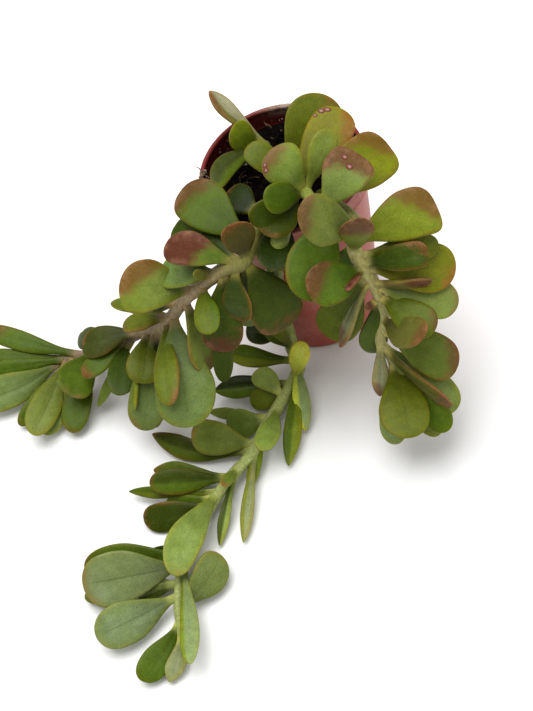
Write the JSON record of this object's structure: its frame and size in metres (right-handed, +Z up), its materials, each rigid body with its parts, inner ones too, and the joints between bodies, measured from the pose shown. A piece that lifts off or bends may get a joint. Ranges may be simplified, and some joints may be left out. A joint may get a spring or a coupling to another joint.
{
  "type": "potted trailing jade",
  "caption": "Trailing jade succulent in a tapered plastic pot, with leafy runners that arch over the rim and trail along the surface.",
  "frame": {"origin": "middle of the pot's flat foot, on the surface that the pot stands on", "axes": "+Z up along the pot's axis; the runners trail towards -Y and -X; millimetre source, metres in the row"},
  "size_m": [0.2468, 0.2258, 0.1486],
  "materials": {
    "pot_plastic": "satin",
    "potting_soil": "matte",
    "crown_leaf": "satin",
    "runner_leaf": "satin",
    "pale_leaf": "satin"
  },
  "bodies": {
    "root": {"pot": "pot_plastic", "soil": "potting_soil", "crown_shoot": "crown_leaf", "young_sprout": "crown_leaf", "left_runner": "runner_leaf", "right_runner": "runner_leaf", "lower_runner": "pale_leaf"}
  },
  "joints": []
}
